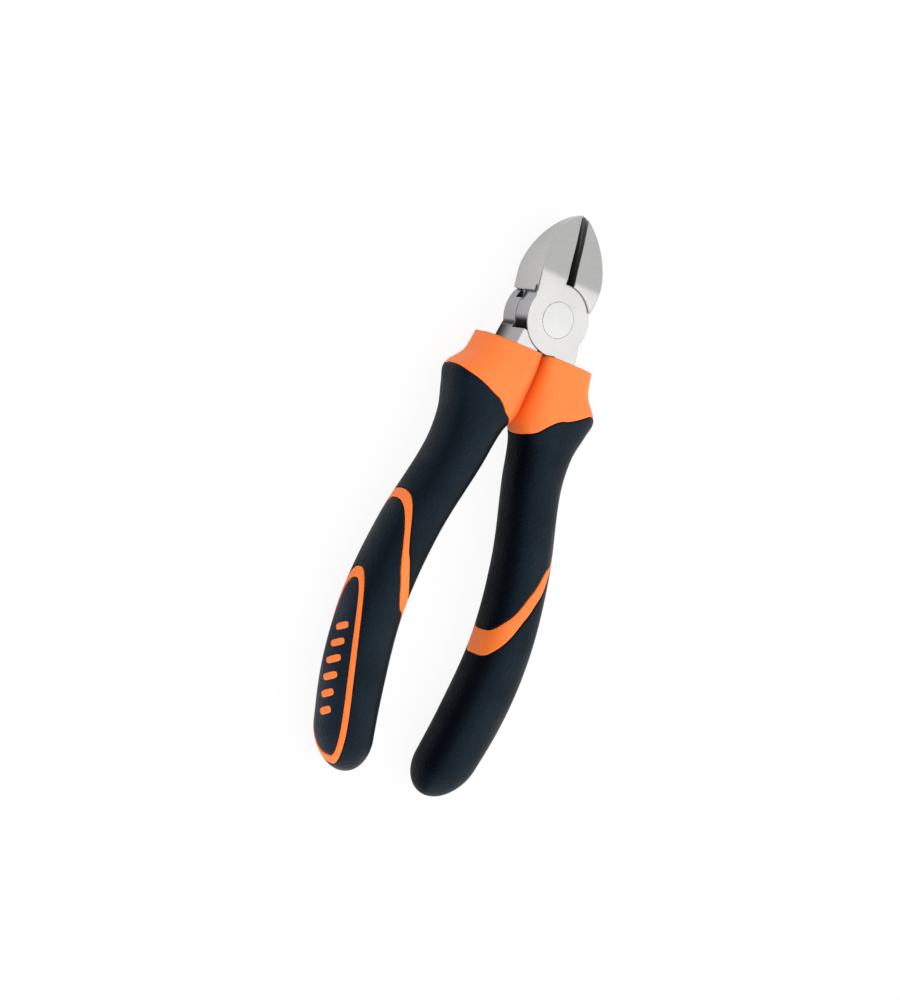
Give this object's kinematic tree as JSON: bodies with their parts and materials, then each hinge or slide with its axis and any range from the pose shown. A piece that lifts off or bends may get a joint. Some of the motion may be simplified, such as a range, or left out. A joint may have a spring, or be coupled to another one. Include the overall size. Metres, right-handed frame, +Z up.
{
  "type": "diagonal cutter",
  "caption": "Diagonal cutting pliers with a riveted lap joint, ground jaws meeting along straight cutting edges, and bowed orange and black moulded grips with flared guard collars.",
  "frame": {"origin": "bottom centre of the tool's box as it lies flat with the jaws closed: middle of the length and of the width, on the surface it lies on", "axes": "+Y to the jaw tips, +Z up along the rivet, +X to the right handle seen from the front"},
  "size_m": [0.0586, 0.1598, 0.0167],
  "materials": {
    "forged_steel": "ground and polished, satin on the jaw facets",
    "rivet_steel": "ground flush and polished",
    "orange_hard_plastic": "satin moulded",
    "black_soft_plastic": "fine matt grain"
  },
  "bodies": {
    "rear_arm": {"rear_half": "forged_steel", "pivot_rivet": "rivet_steel", "left_grip_core": "orange_hard_plastic", "left_upper_skin": "black_soft_plastic", "left_lower_skin": "black_soft_plastic", "left_medallion": "black_soft_plastic"},
    "front_arm": {"front_half": "forged_steel", "right_grip_core": "orange_hard_plastic", "right_upper_skin": "black_soft_plastic", "right_lower_skin": "black_soft_plastic", "right_medallion": "black_soft_plastic"}
  },
  "joints": [
    {"name": "cutter_pivot", "type": "hinge", "parent": "rear_arm", "child": "front_arm", "pos_m": [0, 0.05064, 0.00835], "axis": [0, 0, 1], "range_deg": [0, 45]}
  ]
}
